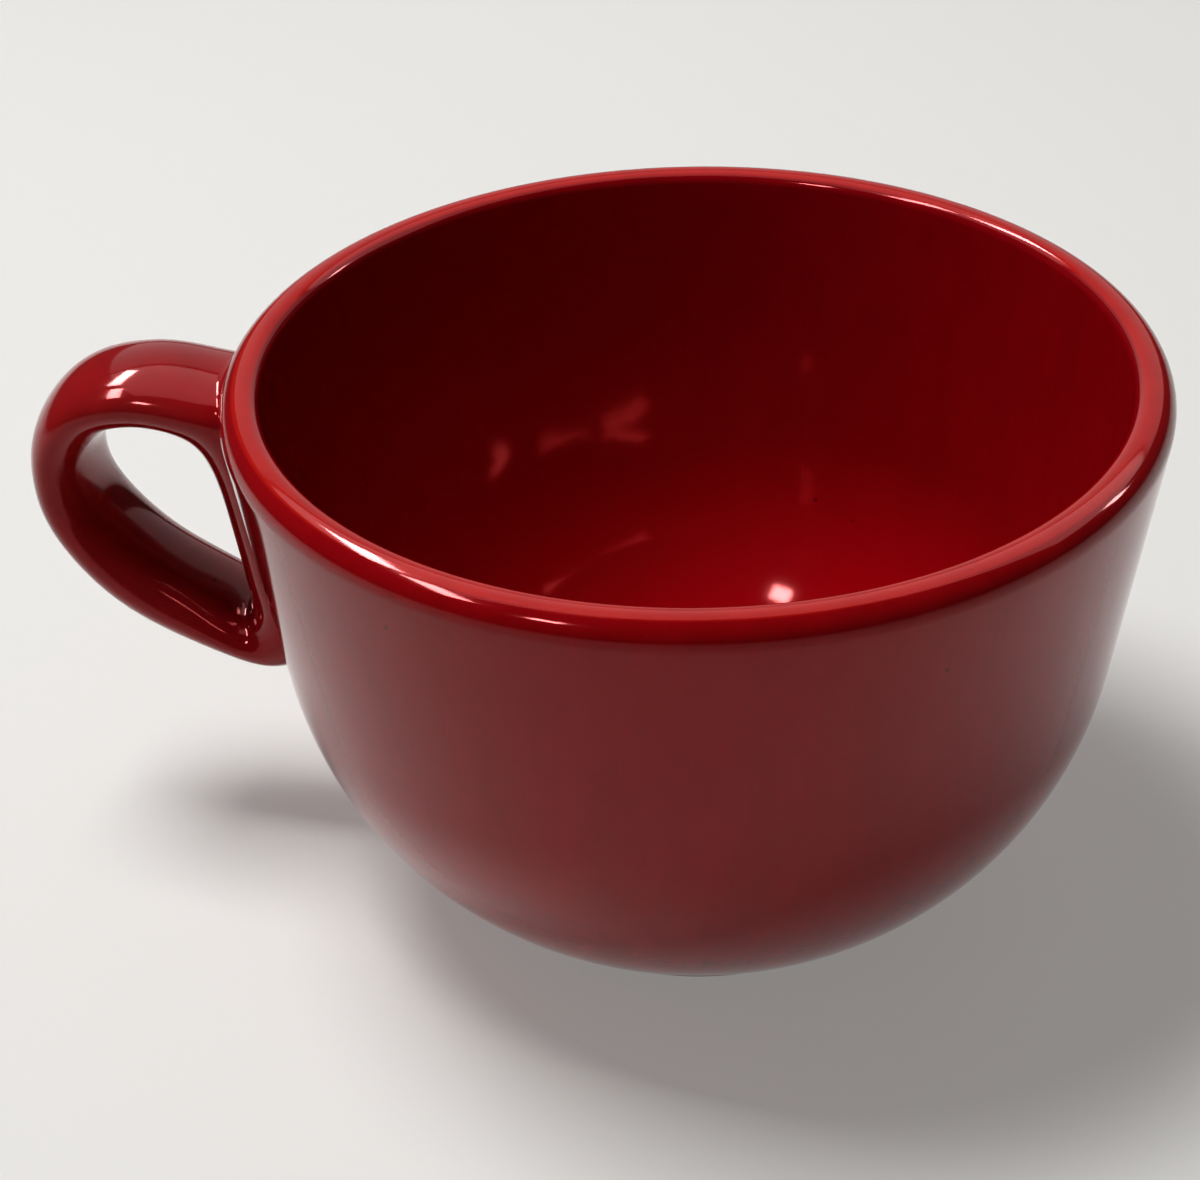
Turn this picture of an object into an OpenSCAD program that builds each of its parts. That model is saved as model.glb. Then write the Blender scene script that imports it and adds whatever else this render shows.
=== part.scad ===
// Wide soup mug: a stoneware bowl on a foot ring, a closed ear handle luted to its wall, and a glaze
// coat over all but the foot. The origin is the centre of the foot on the table, and the handle is at -X.

/* [Bowl] */
// Diameter over the rim, glazed
rim_d = 130; // [110:1:160]
// Height from the table to the top of the rim, glazed
mug_h = 82.4; // [70:0.1:110]
// Lean of the straight wall from upright, in degrees
wall_lean = 9; // [4:0.5:14]
// Height where the round bowl runs into the straight wall
bowl_h = 41; // [30:0.5:50]
// Thickness of the wall, glazed on both sides
wall_t = 5.9; // [5:0.1:8]
// Thickness of the floor, from the hollow of the foot to the glaze inside
floor_t = 5.5; // [4:0.1:9]
// Radius where the inside wall turns into the floor
floor_r = 24; // [12:1:28]
// Rounding of the rim's outer shoulder
rim_out_r = 3.6; // [2:0.1:4.2]

/* [Foot] */
// Outer diameter of the foot ring
foot_d = 64.5; // [50:0.5:76]
// Width of the foot ring
foot_w = 5; // [3:0.1:9]
// Height of the foot ring
foot_h = 2.1; // [1.5:0.1:5]
// Rounding of the foot ring's lower edges
foot_r = 0.8; // [0.4:0.1:1.2]
// Ledge from the foot ring out to where the bowl starts
foot_ledge = 0.6; // [0.2:0.1:2]

/* [Handle] */
// Width of the finger gap, outwards from the web
gap_w = 19.8; // [14:0.1:28]
// Height of the finger gap
gap_tall = 30; // [22:0.5:38]
// Thickness of the handle round the finger gap
arm_t = 9; // [7:0.5:13]
// Width of the handle, from side to side
arm_w = 19.5; // [12:0.5:26]
// Thickness of the web that lies on the wall behind the finger gap
web_t = 7.4; // [4:0.1:10]
// Depth of the handle's top below the rim
handle_drop = 5.5; // [2:0.1:12]

/* [Coats] */
// Thickness of the glaze
glaze_t = 0.4; // [0.3:0.05:0.8]
// Thickness of the slip between handle and wall
slip_t = 0.6; // [0.5:0.05:1.2]
// Width of the band wiped clean of glaze inside the foot ring
wiped_w = 1; // [0.5:0.1:3]

/* [Hidden] */
glaze_red = "#8f1015";
clay_buff = "#d6c8b2";
slip_buff = "#c4b498";
around_fn = 180;
bowl_steps = 14;
rim_steps = 8;
foot_steps = 5;
handle_steps = 4;
section_sides = 20;

// The wall leans outwards, so its outward normal points a little down
wall_n = [cos(wall_lean), -sin(wall_lean)];
rim_out_c = [rim_d / 2 - rim_out_r, mug_h - rim_out_r];
wall_top = rim_out_c + rim_out_r * wall_n;
bowl_join = [wall_top.x - (wall_top.y - bowl_h) * tan(wall_lean), bowl_h];

// The bowl is one arc that springs from the foot's ledge and runs into the wall without a break
foot_edge = [foot_d / 2 + foot_ledge, foot_h];
bowl_chord = bowl_join - foot_edge;
bowl_r = bowl_chord * bowl_chord / (2 * bowl_chord * wall_n);
bowl_c = bowl_join - bowl_r * wall_n;

// The inside follows the outside at the wall's thickness, then turns into a flat floor
hollow_r = bowl_r - wall_t;
floor_z = foot_h + floor_t;
floor_c_z = floor_z + floor_r;
floor_c = [bowl_c.x + sqrt(pow(hollow_r - floor_r, 2) - pow(bowl_c.y - floor_c_z, 2)), floor_c_z];
floor_turn = atan2(floor_c.y - bowl_c.y, floor_c.x - bowl_c.x);

// The rim has no flat: at its top, where the two glazes meet, the outer rounding turns into the inner one,
// which runs into the inside wall
rim_in_r = (wall_t - rim_out_r * (1 - wall_n.y)) / (1 + wall_n.y);
rim_in_c = [rim_out_c.x, mug_h - rim_in_r];

// The handle's outline is the finger gap with an arm all round it
handle_reach = web_t + gap_w + arm_t;
handle_tall = gap_tall + 2 * arm_t;
handle_low = mug_h - handle_drop - handle_tall;
gap_low = handle_low + arm_t;

// Stations round the handle, from the middle of the web over the top arm and back up from the lower root.
// Gap shares are of the gap's width and height, and edge shares of the handle's reach and height. Edges
// with a share below zero lie inside the wall.
gap_shares = [
    [0.00, 0.47], [0.02, 0.73], [0.10, 0.88], [0.26, 0.96], [0.50, 0.97], [0.77, 0.92], [0.95, 0.78],
    [1.00, 0.59], [0.90, 0.43], [0.66, 0.25], [0.35, 0.10], [0.10, -0.02], [0.02, 0.06], [0.00, 0.25]];
edge_shares = [
    [-0.12, 0.52], [-0.12, 0.80], [-0.08, 0.95], [0.12, 0.98], [0.42, 1.00], [0.73, 0.93], [0.94, 0.75],
    [1.00, 0.52], [0.92, 0.32], [0.74, 0.15], [0.45, 0.03], [0.14, -0.02], [-0.12, 0.12], [-0.12, 0.33]];

// Points of an arc, from one angle to another
function arc(centre, r, from, to, steps) =
    [for (i = [0:steps]) let (a = from + (to - from) * i / steps) centre + r * [cos(a), sin(a)]];

function reversed(points) = [for (i = [len(points) - 1:-1:0]) points[i]];

function past_first(points) = [for (i = [1:len(points) - 1]) points[i]];

// Outside of the bowl from the foot to the top of the rim, a skin's thickness out from the finished surface
function outside(skin) =
    concat(
        arc(bowl_c, bowl_r + skin, -asin((bowl_c.y - foot_h) / (bowl_r + skin)), -wall_lean, bowl_steps),
        arc(rim_out_c, rim_out_r + skin, -wall_lean, 90, rim_steps));

// Inside of the bowl from the top of the rim to the middle of the floor
function inside(skin) =
    concat(
        arc(rim_in_c, rim_in_r + skin, 90, 180 - wall_lean, rim_steps),
        arc(bowl_c, hollow_r - skin, -wall_lean, floor_turn, bowl_steps),
        arc(floor_c, floor_r - skin, floor_turn, -90, bowl_steps),
        [[0, floor_z + skin]]);

// Distance of the finished wall from the axis at a height
function wall_x(z) =
    z >= bowl_h
    ? bowl_join.x + (z - bowl_h) * tan(wall_lean)
    : bowl_c.x + sqrt(pow(bowl_r, 2) - pow(bowl_c.y - z, 2));

// Point on a smooth closed curve through the given points
function along(points, i, t) =
    let (
        n = len(points),
        a = points[(i + n - 1) % n],
        b = points[i],
        c = points[(i + 1) % n],
        d = points[(i + 2) % n])
    (2 * b + (c - a) * t + (2 * a - 5 * b + 4 * c - d) * t * t + (3 * b - a - 3 * c + d) * t * t * t) / 2;

// Distance out and height turned into a place beside the wall
function beside_wall(p) = [wall_x(p.y) + p.x, p.y];

// One oval section of the handle, from the gap's side to the outer edge
function section(gap, edge, skin) =
    let (
        middle = (gap + edge) / 2,
        half = (edge - gap) / 2,
        depth = half * (norm(half) + skin) / norm(half),
        breadth = arm_w / 2 + skin)
    [for (j = [0:section_sides - 1])
        let (
            a = 360 * j / section_sides,
            p = middle + depth * cos(a))
        [-p.x, breadth * sin(a), p.y]];

function handle_points(skin) =
    let (
        gap = [for (s = gap_shares) [web_t + s.x * gap_w, gap_low + s.y * gap_tall]],
        edge = [for (s = edge_shares) [s.x * handle_reach, handle_low + s.y * handle_tall]])
    [for (i = [0:len(gap) - 1], k = [0:handle_steps - 1])
        let (t = k / handle_steps)
        each section(beside_wall(along(gap, i, t)), beside_wall(along(edge, i, t)), skin)];

function handle_faces(rings) =
    [for (i = [0:rings - 1], j = [0:section_sides - 1])
        let (
            here = i * section_sides,
            next = (i + 1) % rings * section_sides,
            side = (j + 1) % section_sides)
        each [[here + j, next + j, next + side], [here + j, next + side, here + side]]];

// The whole handle ring, its back still standing in the wall
module handle_ring(skin) {
    polyhedron(handle_points(skin), handle_faces(len(gap_shares) * handle_steps));
}

// The bowl as a full round, hollow and all, for cutting what stands against it
module full_bowl(skin) {
    rotate_extrude($fn = around_fn)
        polygon(concat([[0, foot_h]], outside(skin), [[0, mug_h + skin]]));
}

module bowl_body() {
    color(clay_buff)
        rotate_extrude($fn = around_fn)
            polygon(concat([[0, foot_h]], outside(-glaze_t), past_first(inside(-glaze_t))));
}

module foot_ring() {
    foot_out = foot_d / 2;
    foot_in = foot_out - foot_w;
    color(clay_buff)
        rotate_extrude($fn = around_fn)
            polygon(concat(
                [[foot_out, foot_h], [foot_in, foot_h]],
                arc([foot_in + foot_r, foot_r], foot_r, 180, 270, foot_steps),
                arc([foot_out - foot_r, foot_r], foot_r, 270, 360, foot_steps)));
}

module handle_core() {
    color(clay_buff)
        difference() {
            handle_ring(-glaze_t);
            full_bowl(slip_t - glaze_t);
        }
}

module handle_slip() {
    color(slip_buff)
        intersection() {
            handle_ring(-glaze_t);
            difference() {
                full_bowl(slip_t - glaze_t);
                full_bowl(-glaze_t);
            }
        }
}

module bowl_glaze() {
    color(glaze_red)
        difference() {
            rotate_extrude($fn = around_fn)
                polygon(concat(outside(0), reversed(outside(-glaze_t))));
            handle_ring(-glaze_t);
        }
}

module liner_glaze() {
    color(glaze_red)
        rotate_extrude($fn = around_fn)
            polygon(concat(inside(0), reversed(inside(-glaze_t))));
}

module handle_glaze() {
    color(glaze_red)
        difference() {
            handle_ring(0);
            handle_ring(-glaze_t);
            full_bowl(0);
        }
}

module base_glaze() {
    color(glaze_red)
        translate([0, 0, foot_h - glaze_t])
            cylinder(h = glaze_t, r = foot_d / 2 - foot_w - wiped_w, $fn = around_fn);
}

bowl_body();
foot_ring();
handle_core();
handle_slip();
bowl_glaze();
liner_glaze();
handle_glaze();
base_glaze();
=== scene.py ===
"""Looks of a red-glazed stoneware soup mug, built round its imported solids. All lengths are in metres."""
import math

import bpy
from mathutils import Matrix, Vector


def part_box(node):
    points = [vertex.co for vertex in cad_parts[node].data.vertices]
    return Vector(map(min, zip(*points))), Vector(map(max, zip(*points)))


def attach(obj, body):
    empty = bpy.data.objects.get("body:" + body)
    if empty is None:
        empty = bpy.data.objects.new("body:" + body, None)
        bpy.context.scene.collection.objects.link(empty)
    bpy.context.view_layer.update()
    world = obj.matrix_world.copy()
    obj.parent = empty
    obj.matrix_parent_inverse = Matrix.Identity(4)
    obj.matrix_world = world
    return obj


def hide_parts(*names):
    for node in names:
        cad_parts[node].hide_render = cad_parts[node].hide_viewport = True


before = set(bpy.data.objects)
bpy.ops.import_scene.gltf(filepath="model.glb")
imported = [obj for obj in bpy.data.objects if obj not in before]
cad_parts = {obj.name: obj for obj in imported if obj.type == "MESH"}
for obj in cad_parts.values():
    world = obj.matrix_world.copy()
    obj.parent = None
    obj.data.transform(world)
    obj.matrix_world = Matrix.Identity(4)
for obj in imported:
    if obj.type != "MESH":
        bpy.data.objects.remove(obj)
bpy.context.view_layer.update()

MM = 0.001

# Sizes of the bowl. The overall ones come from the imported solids
RIM_D = 2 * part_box("bowl_glaze")[1].y
MUG_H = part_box("liner_glaze")[1].z
WALL_LEAN = math.radians(9)
BOWL_H = 41 * MM
WALL_T = 5.9 * MM
FLOOR_T = 5.5 * MM
FLOOR_R = 24 * MM
RIM_OUT_R = 3.6 * MM

# Sizes of the foot
FOOT_D = 2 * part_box("foot_ring")[1].x
FOOT_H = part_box("foot_ring")[1].z
FOOT_W = 5 * MM
FOOT_R = 0.8 * MM
FOOT_LEDGE = 0.6 * MM

# Sizes of the handle
GAP_W = 19.8 * MM
GAP_TALL = 30 * MM
ARM_T = 9 * MM
ARM_W = 19.5 * MM
WEB_T = 7.4 * MM
HANDLE_DROP = 5.5 * MM
FILLET_R = 3 * MM

# Sizes of the coats
GLAZE_T = 0.4 * MM
BASE_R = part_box("base_glaze")[1].x

# Fineness of the meshes
AROUND = 192
OUTER_BOWL_STEPS = 30
OUTER_RIM_STEPS = 18
WALL_STEPS = 14
INNER_RIM_STEPS = 16
INNER_BOWL_STEPS = 24
FLOOR_TURN_STEPS = 18
FLOOR_STEPS = 10
FOOT_STEPS = 4
FOOT_EDGE_STEPS = 8
BASE_STEPS = 8
BASE_EDGE_STEPS = 6
HANDLE_STEPS = 4
HANDLE_SIDES = 24
FILLET_AROUND = 160
FILLET_SIDES = 16
HALVINGS = 40
MERGE_GAP = 0.01 * MM
SMOOTH_ANGLE = math.radians(40)

# Where the glaze is paler, partly thin glaze and partly painted reflection: from the bowl's side out to the
# handle, and just below the top of the rim
PALE_HANDLE_FROM_X = -60 * MM
PALE_HANDLE_TO_X = -75 * MM
CREST_FROM = 0.55 * MM
CREST_TO = 0.3 * MM

# The stage
FLOOR_SIZE = 6


# Small helpers

def deselect():
    """Leaves nothing selected, so that an operator acts on the new piece alone."""
    bpy.ops.object.select_all(action="DESELECT")


def edit(mode="EDIT"):
    """Goes into edit mode, or into another one."""
    bpy.ops.object.mode_set(mode=mode)


def apply_modifier(piece, kind, **settings):
    """Adds a modifier to a piece and applies it."""
    deselect()
    piece.select_set(True)
    bpy.context.view_layer.objects.active = piece
    made = piece.modifiers.new(kind.lower(), kind)
    for name, value in settings.items():
        setattr(made, name, value)
    bpy.ops.object.modifier_apply(modifier=made.name)


def polar(centre, radius, angle):
    """Place at an angle and a distance from a centre."""
    return centre + radius * Vector((math.cos(angle), math.sin(angle)))


def arc(centre, radius, start, end, steps):
    """Points of an arc, from one angle to another."""
    return [polar(centre, radius, start + (end - start) * i / steps) for i in range(steps + 1)]


def straight(start, end, steps):
    """Points between two places on a straight line, without its ends."""
    return [start.lerp(end, i / steps) for i in range(1, steps)]


# Lines of the bowl, as distance from the axis and height

WALL_N = Vector((math.cos(WALL_LEAN), -math.sin(WALL_LEAN)))
WALL_UP = Vector((math.sin(WALL_LEAN), math.cos(WALL_LEAN)))
RIM_OUT_C = Vector((RIM_D / 2 - RIM_OUT_R, MUG_H - RIM_OUT_R))
WALL_TOP = RIM_OUT_C + RIM_OUT_R * WALL_N
BOWL_JOIN = Vector((WALL_TOP.x - (WALL_TOP.y - BOWL_H) * math.tan(WALL_LEAN), BOWL_H))
FOOT_EDGE = Vector((FOOT_D / 2 + FOOT_LEDGE, FOOT_H))
BOWL_CHORD = BOWL_JOIN - FOOT_EDGE
BOWL_R = BOWL_CHORD.length_squared / (2 * BOWL_CHORD.dot(WALL_N))
BOWL_C = BOWL_JOIN - BOWL_R * WALL_N
HOLLOW_R = BOWL_R - WALL_T
FLOOR_Z = FOOT_H + FLOOR_T
FLOOR_C_Z = FLOOR_Z + FLOOR_R
FLOOR_C = Vector((BOWL_C.x + math.sqrt((HOLLOW_R - FLOOR_R) ** 2 - (BOWL_C.y - FLOOR_C_Z) ** 2), FLOOR_C_Z))
FLOOR_TURN = math.atan2(FLOOR_C.y - BOWL_C.y, FLOOR_C.x - BOWL_C.x)
RIM_IN_R = (WALL_T - RIM_OUT_R * (1 - WALL_N.y)) / (1 + WALL_N.y)
RIM_IN_C = Vector((RIM_OUT_C.x, MUG_H - RIM_IN_R))


def outside():
    """Line of the glaze from the foot to the top of the rim."""
    start = -math.asin((BOWL_C.y - FOOT_H) / BOWL_R)
    return (arc(BOWL_C, BOWL_R, start, -WALL_LEAN, OUTER_BOWL_STEPS)
            + straight(BOWL_JOIN, WALL_TOP, WALL_STEPS)
            + arc(RIM_OUT_C, RIM_OUT_R, -WALL_LEAN, math.pi / 2, OUTER_RIM_STEPS))


def inside():
    """Line of the glaze from the top of the rim to the middle of the floor."""
    rim = arc(RIM_IN_C, RIM_IN_R, math.pi / 2, math.pi - WALL_LEAN, INNER_RIM_STEPS)[1:]
    bowl = arc(BOWL_C, HOLLOW_R, -WALL_LEAN, FLOOR_TURN, INNER_BOWL_STEPS)
    floor = arc(FLOOR_C, FLOOR_R, FLOOR_TURN, -math.pi / 2, FLOOR_TURN_STEPS)
    middle = Vector((0, FLOOR_Z))
    return (rim + straight(rim[-1], bowl[0], WALL_STEPS) + bowl + floor[1:]
            + straight(floor[-1], middle, FLOOR_STEPS) + [middle])


def wall_x(z):
    """Distance of the glazed wall from the axis at a height."""
    if z >= BOWL_H:
        return BOWL_JOIN.x + (z - BOWL_H) * math.tan(WALL_LEAN)
    return BOWL_C.x + math.sqrt(BOWL_R ** 2 - (BOWL_C.y - z) ** 2)


def wall_near(place):
    """How far a place lies outside the glazed wall, and the way straight out from the wall there."""
    across = Vector((math.hypot(place.x, place.y), place.z))
    from_rim = across - RIM_OUT_C
    if math.atan2(from_rim.y, from_rim.x) > -WALL_LEAN:
        far, way = from_rim.length - RIM_OUT_R, from_rim.normalized()
    elif (across - BOWL_JOIN).dot(WALL_UP) > 0:
        far, way = (across - BOWL_JOIN).dot(WALL_N), WALL_N
    else:
        from_bowl = across - BOWL_C
        far, way = from_bowl.length - BOWL_R, from_bowl.normalized()
    return far, Vector((way.x * place.x / across.x, way.x * place.y / across.x, way.y))


def turned(name, line):
    """A piece turned on the wheel: a line of points drawn from one vertex, then spun round the axis."""
    deselect()
    bpy.ops.mesh.primitive_plane_add(size=MM, location=(line[0].x, 0, line[0].y))
    piece = bpy.context.object
    piece.name = name
    edit()
    bpy.ops.mesh.merge(type="CENTER")
    for here, there in zip(line, line[1:]):
        step = there - here
        bpy.ops.mesh.extrude_vertices_move(TRANSFORM_OT_translate={"value": (step.x, 0, step.y)})
    bpy.ops.mesh.select_all(action="SELECT")
    bpy.ops.mesh.spin(steps=AROUND, angle=math.tau, center=(0, 0, 0), axis=(0, 0, 1))
    bpy.ops.mesh.select_all(action="SELECT")
    bpy.ops.mesh.remove_doubles(threshold=MERGE_GAP)
    bpy.ops.mesh.normals_make_consistent(inside=False)
    edit("OBJECT")
    bpy.ops.object.transform_apply(location=True, rotation=True, scale=True)
    bpy.ops.object.shade_smooth()
    return piece


def bowl_coat():
    """The red glaze over the whole bowl, outside, rim and inside, in one unbroken skin."""
    piece = turned("bowl_coat", outside() + inside())
    apply_modifier(piece, "SOLIDIFY", thickness=GLAZE_T, offset=-1)
    bpy.ops.object.shade_smooth_by_angle(angle=SMOOTH_ANGLE)
    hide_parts("bowl_glaze", "liner_glaze")
    return piece


def base_coat():
    """The disc of glaze under the floor, with a soft edge where it was wiped back."""
    edge = GLAZE_T / 2
    low = FOOT_H - GLAZE_T
    line = ([Vector((0, low))]
            + straight(Vector((0, low)), Vector((BASE_R - edge, low)), BASE_STEPS)
            + arc(Vector((BASE_R - edge, low + edge)), edge, -math.pi / 2, math.pi / 2, BASE_EDGE_STEPS)
            + [Vector((0, FOOT_H))])
    piece = turned("base_coat", line)
    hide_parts("base_glaze")
    return piece


def foot():
    """The bare foot ring that the mug stands on, with its lower edges rounded by a sponge."""
    out, inn = FOOT_D / 2, FOOT_D / 2 - FOOT_W
    line = ([Vector((out, FOOT_H)), Vector((inn, FOOT_H))]
            + arc(Vector((inn + FOOT_R, FOOT_R)), FOOT_R, math.pi, 1.5 * math.pi, FOOT_EDGE_STEPS)
            + straight(Vector((inn + FOOT_R, 0)), Vector((out - FOOT_R, 0)), FOOT_STEPS)
            + arc(Vector((out - FOOT_R, FOOT_R)), FOOT_R, -math.pi / 2, 0, FOOT_EDGE_STEPS)
            + [Vector((out, FOOT_H))])
    piece = turned("foot", line)
    bpy.ops.object.shade_smooth_by_angle(angle=SMOOTH_ANGLE)
    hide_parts("foot_ring")
    return piece


# The handle: a closed ring of oval sections. Each runs from the finger gap to the outer edge

# Shares of the gap's width and height, and of the handle's reach and height, from the middle of the web
# over the top arm and back up from the lower root. Edges with a share below zero lie inside the wall
GAP_SHARES = (
    (0.00, 0.47), (0.02, 0.73), (0.10, 0.88), (0.26, 0.96), (0.50, 0.97), (0.77, 0.92), (0.95, 0.78),
    (1.00, 0.59), (0.90, 0.43), (0.66, 0.25), (0.35, 0.10), (0.10, -0.02), (0.02, 0.06), (0.00, 0.25))
EDGE_SHARES = (
    (-0.12, 0.52), (-0.12, 0.80), (-0.08, 0.95), (0.12, 0.98), (0.42, 1.00), (0.73, 0.93), (0.94, 0.75),
    (1.00, 0.52), (0.92, 0.32), (0.74, 0.15), (0.45, 0.03), (0.14, -0.02), (-0.12, 0.12), (-0.12, 0.33))
HANDLE_REACH = WEB_T + GAP_W + ARM_T
HANDLE_TALL = GAP_TALL + 2 * ARM_T
HANDLE_LOW = MUG_H - HANDLE_DROP - HANDLE_TALL
GAP_LOW = HANDLE_LOW + ARM_T
GAP = [Vector((WEB_T + x * GAP_W, GAP_LOW + z * GAP_TALL)) for x, z in GAP_SHARES]
EDGE = [Vector((x * HANDLE_REACH, HANDLE_LOW + z * HANDLE_TALL)) for x, z in EDGE_SHARES]


def along(points, station):
    """Place on a smooth closed curve through the points, moved out beside the wall."""
    n = len(points)
    i = math.floor(station)
    t = station - i
    a, b, c, d = (points[(i + k) % n] for k in (-1, 0, 1, 2))
    p = (2 * b + (c - a) * t + (2 * a - 5 * b + 4 * c - d) * t ** 2 + (3 * b - a - 3 * c + d) * t ** 3) / 2
    return Vector((wall_x(p.y) + p.x, p.y))


def section(station):
    """Middle of the handle's oval at a station, and half of its depth, both in the plane of the handle."""
    gap, edge = along(GAP, station), along(EDGE, station)
    return (gap + edge) / 2, (edge - gap) / 2


def handle_place(station, turn):
    """Place on the handle's surface: a station along it and a turn round its oval."""
    middle, half = section(station)
    p = middle + half * math.cos(turn)
    return Vector((-p.x, ARM_W / 2 * math.sin(turn), p.y))


def handle_way(station, turn):
    """The way straight out from the handle's surface."""
    small = 0.001
    ahead = handle_place(station + small, turn) - handle_place(station - small, turn)
    round_it = handle_place(station, turn + small) - handle_place(station, turn - small)
    way = ahead.cross(round_it).normalized()
    middle = section(station)[0]
    outward = handle_place(station, turn) - Vector((-middle.x, 0, middle.y))
    return way if way.dot(outward) > 0 else -way


def handle_coat():
    """The glazed handle: ovals set along the ring, bridged and smoothed."""
    deselect()
    # The smoothing draws each oval in, so it starts a little fuller
    fuller = 3 / (2 + math.cos(math.tau / HANDLE_SIDES))
    ovals = []
    for k in range(len(GAP) * HANDLE_STEPS):
        middle, half = section(k / HANDLE_STEPS)
        bpy.ops.mesh.primitive_circle_add(
            vertices=HANDLE_SIDES, radius=1, location=(-middle.x, 0, middle.y),
            rotation=(0, math.atan2(-half.y, -half.x), 0))
        ovals.append(bpy.context.object)
        ovals[-1].scale = (half.length * fuller, ARM_W / 2 * fuller, 1)
    for oval in ovals:
        oval.select_set(True)
    piece = ovals[0]
    bpy.context.view_layer.objects.active = piece
    bpy.ops.object.join()
    piece.name = "handle_coat"
    bpy.ops.object.transform_apply(location=True, rotation=True, scale=True)
    edit()
    bpy.ops.mesh.select_all(action="SELECT")
    bpy.ops.mesh.bridge_edge_loops(type="CLOSED")
    bpy.ops.mesh.select_all(action="SELECT")
    bpy.ops.mesh.normals_make_consistent(inside=False)
    edit("OBJECT")
    apply_modifier(piece, "SUBSURF", levels=2, render_levels=2)
    bpy.ops.object.shade_smooth()
    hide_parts("handle_glaze")
    return piece


def ball(station, turn):
    """Middle of a ball that touches the handle, its way out from the handle, and its gap to the wall."""
    out = handle_way(station, turn)
    middle = handle_place(station, turn) + FILLET_R * out
    return middle, out, wall_near(middle)[0] - FILLET_R


def halve(low, high, sign):
    """The value between two others where a sign changes from minus to plus."""
    for _ in range(HALVINGS):
        mid = (low + high) / 2
        if sign(mid) < 0:
            low = mid
        else:
            high = mid
    return (low + high) / 2


def handle_fillet():
    """Glaze pooled in the crease round the handle's root, as a ball rolled along the crease would leave it.

    No operator rolls a ball along a crease, so its mesh is worked out point by point.
    """
    n = len(GAP)
    top = halve(n + 1, n + 3, lambda s: ball(s, 0)[2])
    low = halve(n - 1, n - 3, lambda s: ball(s, 0)[2])
    points, ways, faces = [], [], []
    for k in range(FILLET_AROUND):
        angle = math.tau * k / FILLET_AROUND
        station = (top + low) / 2 + (top - low) / 2 * math.cos(angle)
        turn = halve(0, math.pi, lambda a: ball(station, a)[2])
        middle, out, _ = ball(station, turn if angle < math.pi else -turn)
        wall_out = wall_near(middle)[1]
        spread = out.angle(wall_out)
        for j in range(FILLET_SIDES + 1):
            t = j / FILLET_SIDES
            way = (out * math.sin((1 - t) * spread) + wall_out * math.sin(t * spread)) / math.sin(spread)
            points.append(middle - FILLET_R * way)
            ways.append(way)
        deep = FILLET_R + GLAZE_T
        crease = (out + wall_out).normalized() / math.cos(spread / 2)
        points += [middle - deep * wall_out, middle - deep * crease, middle - deep * out]
        ways += [-wall_out, -crease.normalized(), -out]
    ring = FILLET_SIDES + 4
    for k in range(FILLET_AROUND):
        for j in range(ring):
            here, there = k * ring, (k + 1) % FILLET_AROUND * ring
            beside = (j + 1) % ring
            faces.append((here + j, there + j, there + beside, here + beside))
    mesh = bpy.data.meshes.new("handle_fillet")
    mesh.from_pydata(points, [], faces)
    piece = bpy.data.objects.new("handle_fillet", mesh)
    bpy.context.collection.objects.link(piece)
    deselect()
    piece.select_set(True)
    bpy.context.view_layer.objects.active = piece
    edit()
    bpy.ops.mesh.select_all(action="SELECT")
    bpy.ops.mesh.normals_make_consistent(inside=False)
    edit("OBJECT")
    bpy.ops.object.shade_smooth()
    mesh.normals_split_custom_set_from_vertices(ways)
    return piece


# Materials

def linear(code):
    """A colour written in sRGB hex, as the linear one that a shader takes."""
    parts = [int(code[i:i + 2], 16) / 255 for i in (1, 3, 5)]
    return [c / 12.92 if c <= 0.04045 else ((c + 0.055) / 1.055) ** 2.4 for c in parts] + [1]


def put(tree, kind, inputs=None, links=None, **settings):
    """Adds a node with its settings, its input values and its links."""
    made = tree.nodes.new(kind)
    for name, value in settings.items():
        setattr(made, name, value)
    for socket, value in (inputs or {}).items():
        made.inputs[socket].default_value = value
    for socket, source in (links or {}).items():
        tree.links.new(source, made.inputs[socket])
    return made


def start_material(name):
    """A new material, with its tree, shader and coordinates."""
    material = bpy.data.materials.new(name)
    material.use_nodes = True
    tree = material.node_tree
    place = put(tree, "ShaderNodeTexCoord").outputs["Object"]
    return material, tree, tree.nodes["Principled BSDF"], place


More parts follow.
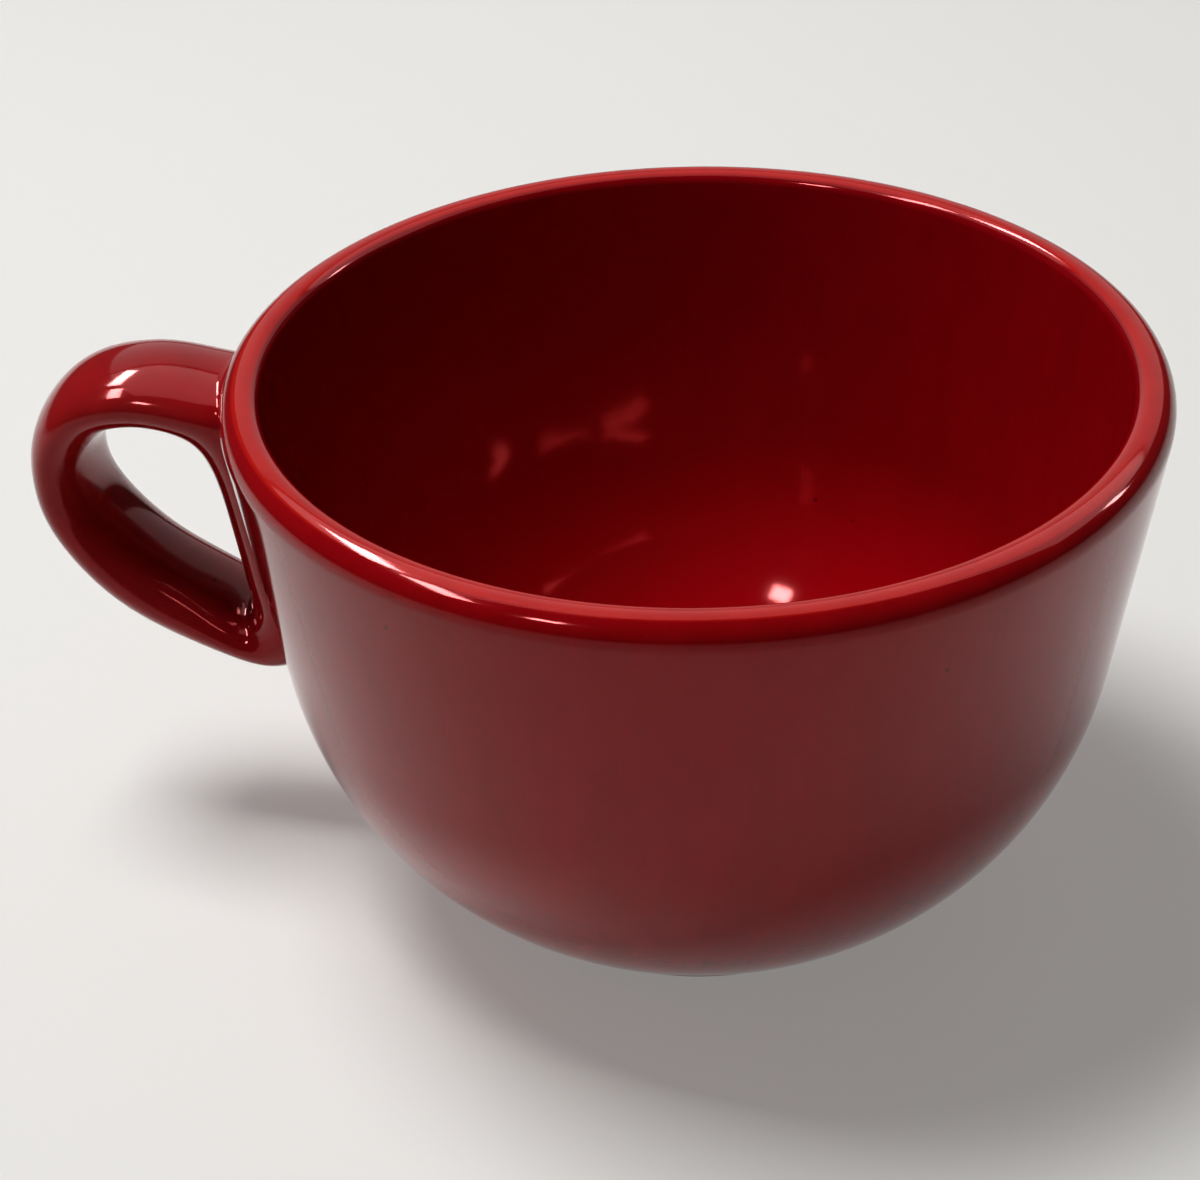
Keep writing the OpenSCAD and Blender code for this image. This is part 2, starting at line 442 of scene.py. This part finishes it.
def red_gloss_glaze(name, dark, pale, pooled_and_lit, brighter_below):
    """Stoneware glaze fired to a gloss: deep red in faint upright runs, with pinholes and a slight ripple.

    Below a height it is brighter, partly from glaze pooling low and partly as painted light: the floor's
    bounce outside, a pool of light inside.
    Over the crest of the rim it is brighter, partly thin glaze and partly a painted reflection. On the handle
    it is paler, partly clay showing through and partly a painted grey reflection.
    """
    material, tree, shader, place = start_material(name)
    shader.inputs["IOR"].default_value = 1.6
    shader.inputs["Specular Tint"].default_value = linear("#ff8080")
    shader.inputs["Roughness"].default_value = 0.08
    upright = put(tree, "ShaderNodeMapping", {"Scale": (1, 1, 0.35)}, {"Vector": place})
    runs = put(tree, "ShaderNodeTexNoise", {"Scale": 1 / (7 * MM), "Detail": 5, "Roughness": 0.65},
               {"Vector": upright.outputs["Vector"]})
    spread = put(tree, "ShaderNodeMapRange", {"From Min": 0.3, "From Max": 0.7},
                 {"Value": runs.outputs["Fac"]})
    deep = put(tree, "ShaderNodeMix", {"A": linear(dark), "B": linear(pale)},
               {"Factor": spread.outputs["Result"]}, data_type="RGBA")
    axes = put(tree, "ShaderNodeSeparateXYZ", None, {"Vector": place})
    # Brighter below a height: partly glaze pooling low, partly painted light (the floor's bounce outside, a
    # pool of light inside the bowl)
    low = put(tree, "ShaderNodeMapRange", {"From Min": brighter_below, "From Max": FLOOR_Z},
              {"Value": axes.outputs["Z"]})
    brighter_low = put(tree, "ShaderNodeMix", {"B": linear(pooled_and_lit)},
               {"Factor": low.outputs["Result"], "A": deep.outputs["Result"]}, data_type="RGBA")
    # Paler on the handle: partly clay showing through thin glaze, partly a painted grey reflection
    handle = put(tree, "ShaderNodeMapRange", {"From Min": PALE_HANDLE_FROM_X, "From Max": PALE_HANDLE_TO_X},
                 {"Value": axes.outputs["X"]})
    clay = put(tree, "ShaderNodeMix", {"B": linear("#001210")},
               {"Factor": handle.outputs["Result"], "A": brighter_low.outputs["Result"]},
               data_type="RGBA", blend_type="ADD")
    # Brighter over the crest of the rim: partly glaze thinning over the edge, partly a painted reflection of
    # the pale band on the rim, broken up by the runs
    crest = put(tree, "ShaderNodeMapRange", {"From Min": MUG_H - CREST_FROM, "From Max": MUG_H - CREST_TO},
                {"Value": axes.outputs["Z"]}, interpolation_type="SMOOTHSTEP")
    crest_unevenness = put(tree, "ShaderNodeMapRange", {"From Min": 0.3, "From Max": 0.6, "To Min": 0.7},
               {"Value": runs.outputs["Fac"]})
    thin_and_reflection = put(tree, "ShaderNodeMath", None, {0: crest.outputs["Result"], 1: crest_unevenness.outputs["Result"]},
               operation="MULTIPLY")
    bright = put(tree, "ShaderNodeMix", {"B": linear("#bc1711")},
                 {"Factor": thin_and_reflection.outputs["Value"], "A": clay.outputs["Result"]}, data_type="RGBA")
    cell = put(tree, "ShaderNodeTexVoronoi", {"Scale": 1 / (15 * MM)}, {"Vector": place})
    hole = put(tree, "ShaderNodeMapRange", {"From Min": 0.012, "From Max": 0.03, "To Min": 0.7, "To Max": 0},
               {"Value": cell.outputs["Distance"]})
    colour = put(tree, "ShaderNodeMix", {"B": linear("#2c0205")},
                 {"Factor": hole.outputs["Result"], "A": bright.outputs["Result"]}, data_type="RGBA")
    tree.links.new(colour.outputs["Result"], shader.inputs["Base Color"])
    ripple = put(tree, "ShaderNodeTexNoise", {"Scale": 1 / (9 * MM), "Detail": 3}, {"Vector": place})
    bump = put(tree, "ShaderNodeBump", {"Strength": 0.2, "Distance": 0.05 * MM},
               {"Height": ripple.outputs["Fac"]})
    tree.links.new(bump.outputs["Normal"], shader.inputs["Normal"])
    return material


def bare_clay(name, dark, pale):
    """Fired clay with no glaze: matt buff, with fine dark specks."""
    material, tree, shader, place = start_material(name)
    speck = put(tree, "ShaderNodeTexNoise", {"Scale": 1 / (0.8 * MM), "Detail": 4}, {"Vector": place})
    ramp = put(tree, "ShaderNodeValToRGB", None, {"Fac": speck.outputs["Fac"]})
    ramp.color_ramp.elements[0].position = 0.35
    ramp.color_ramp.elements[0].color = linear(dark)
    ramp.color_ramp.elements[1].position = 0.6
    ramp.color_ramp.elements[1].color = linear(pale)
    tree.links.new(ramp.outputs["Color"], shader.inputs["Base Color"])
    shader.inputs["Roughness"].default_value = 0.85
    bump = put(tree, "ShaderNodeBump", {"Strength": 0.4, "Distance": 0.05 * MM},
               {"Height": speck.outputs["Fac"]})
    tree.links.new(bump.outputs["Normal"], shader.inputs["Normal"])
    return material


def floor_paint():
    """Plain pale matt paint, lifted a little in view and in gloss so that the mug's shadow stays light."""
    material, tree, shader, _ = start_material("floor_paint")
    shader.inputs["Base Color"].default_value = linear("#d4d3d0")
    shader.inputs["Roughness"].default_value = 0.9
    shader.inputs["Emission Color"].default_value = linear("#e3e2df")
    ray = put(tree, "ShaderNodeLightPath")
    seen = put(tree, "ShaderNodeMath", None,
               {0: ray.outputs["Is Camera Ray"], 1: ray.outputs["Is Glossy Ray"]}, operation="MAXIMUM")
    lift = put(tree, "ShaderNodeMath", {1: 0.3}, {0: seen.outputs["Value"]}, operation="MULTIPLY")
    tree.links.new(lift.outputs["Value"], shader.inputs["Emission Strength"])
    return material


def wear(piece, material):
    """Gives a piece one material all over."""
    piece.data.materials.clear()
    piece.data.materials.append(material)


def line_inside(piece, material):
    """Gives the bowl's inside, from the crest of the rim down, the liner's material, which is darker partly
    as painted shade.
    """
    piece.data.materials.append(material)
    for face in piece.data.polygons:
        across = math.hypot(face.center.x, face.center.y)
        past_crest = face.center.z > RIM_OUT_C.y and across < RIM_OUT_C.x
        if past_crest or wall_near(face.center)[0] < -WALL_T / 2:
            face.material_index = 1


# The pieces, each on the mug's one body

# The outer glaze and the liner brighten below a height, partly as painted light. The liner is a darker copy
# of the glaze: partly its own colour, partly painted shade inside the bowl
glaze = red_gloss_glaze("red_gloss_glaze", "#8e030b", "#9c060e", "#b0080f", 25 * MM)
liner = red_gloss_glaze("red_liner_glaze_painted_shade", "#89020c", "#92030e", "#ae030f", 40 * MM)
stoneware = bare_clay("bare_stoneware", "#b29f82", "#d6c8b2")
slip = bare_clay("fired_slip", "#a08c6c", "#c4b498")
bowl = bowl_coat()
for coat in (bowl, handle_coat(), handle_fillet(), base_coat()):
    wear(coat, glaze)
    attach(coat, "root")
line_inside(bowl, liner)
ring = foot()
wear(ring, stoneware)
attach(ring, "root")
wear(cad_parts["bowl_body"], stoneware)
wear(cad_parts["handle_core"], stoneware)
wear(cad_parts["handle_slip"], slip)


# The stage: floor, light and camera

def floor():
    """A plain pale floor that the mug stands on."""
    deselect()
    bpy.ops.mesh.primitive_plane_add(size=FLOOR_SIZE)
    piece = bpy.context.object
    piece.name = "floor"
    wear(piece, floor_paint())


def lamp(name, place, aim, width, height, brightness, lights=True, shines=True):
    """A flat lamp at a place in millimetres, facing another. It lights surfaces, shines in gloss, or both."""
    place, aim = Vector(place) * MM, Vector(aim) * MM
    data = bpy.data.lights.new(name, "AREA")
    data.shape = "RECTANGLE"
    data.size = width * MM
    data.size_y = height * MM
    data.energy = brightness * math.pi * data.size * data.size_y
    made = bpy.data.objects.new(name, data)
    bpy.context.collection.objects.link(made)
    made.location = place
    made.rotation_euler = (aim - place).to_track_quat("-Z", "Y").to_euler()
    made.visible_camera = False
    made.visible_diffuse = lights
    made.visible_glossy = shines


def camera():
    """The photograph's view: from the front and a little right, about 30 degrees up, with a slight roll."""
    place = Vector((63.9, -344.8, 274.8)) * MM
    aim = Vector((-15.4, 5.3, 40)) * MM
    data = bpy.data.cameras.new("view")
    data.sensor_width = 36
    data.lens = 87.73
    data.clip_start = 10 * MM
    made = bpy.data.objects.new("view", data)
    bpy.context.collection.objects.link(made)
    turn = (aim - place).to_track_quat("-Z", "Y").to_matrix().to_4x4()
    made.matrix_world = Matrix.Translation(place) @ turn @ Matrix.Rotation(math.radians(-1.79), 4, "Z")
    bpy.context.scene.camera = made


floor()
# The windows and panels show only in the gloss, and the ceiling lamp only lights
lamp("window_back", (-1235, 780, 1862), (39, 555, 82), 900, 240, 42, lights=False)
lamp("window_front", (-1330, -420, 1960), (-106, -600, 82), 900, 240, 42, lights=False)
lamp("window_right", (890, 600, 600), (0, 0, 82), 100, 160, 20, lights=False)
lamp("window_low", (-515, -969, 1105), (0, 0, 82), 170, 130, 55, lights=False)
lamp("near_panel", (69, 103, 295), (89, 39, 0), 592, 240, 1.45, lights=False)
lamp("far_panel", (-76, 576, 183), (-64, 536, 0), 592, 744, 0.46, lights=False)
lamp("ceiling_lamp", (-404, 71, 1210), (0, 0, 82), 500, 500, 18, shines=False)
camera()

world = bpy.data.worlds.new("room")
world.use_nodes = True
world.node_tree.nodes["Background"].inputs["Color"].default_value = linear("#ffffff")
world.node_tree.nodes["Background"].inputs["Strength"].default_value = 0.03
bpy.context.scene.world = world
bpy.context.scene.view_settings.view_transform = "Standard"
